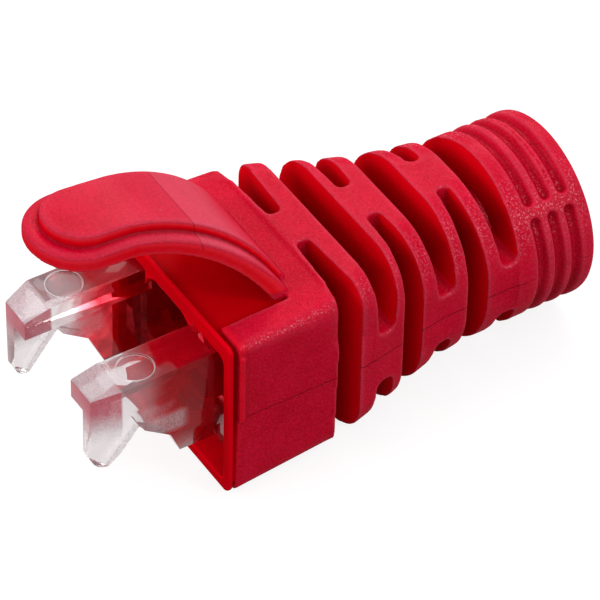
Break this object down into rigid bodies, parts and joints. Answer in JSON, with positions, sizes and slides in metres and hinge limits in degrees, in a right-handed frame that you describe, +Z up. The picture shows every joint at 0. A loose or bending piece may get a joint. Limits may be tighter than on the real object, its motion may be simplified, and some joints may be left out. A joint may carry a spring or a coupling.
{
  "type": "rj45 strain relief boot",
  "caption": "Soft moulded strain relief boot for an 8-way modular plug, with a snag guard flap, a slotted bend relief, a ribbed collar and a clear hooked latch frame.",
  "frame": {"origin": "centre of the overall box in plan, on the flat bottom of the housing, which the boot stands on", "axes": "+Y along the cable from the plug's mouth to the collar, +Z up towards the flap's side, +X across to the right as seen from the plug's mouth looking along +Y"},
  "size_m": [0.014, 0.0344, 0.0196],
  "materials": {
    "boot_red": "matte fine-grained crimson thermoplastic elastomer",
    "clear_plastic": "clear moulded polycarbonate, lightly frosted at the hooks"
  },
  "bodies": {
    "root": {"boot": "boot_red", "latch_frame": "clear_plastic"}
  },
  "joints": []
}
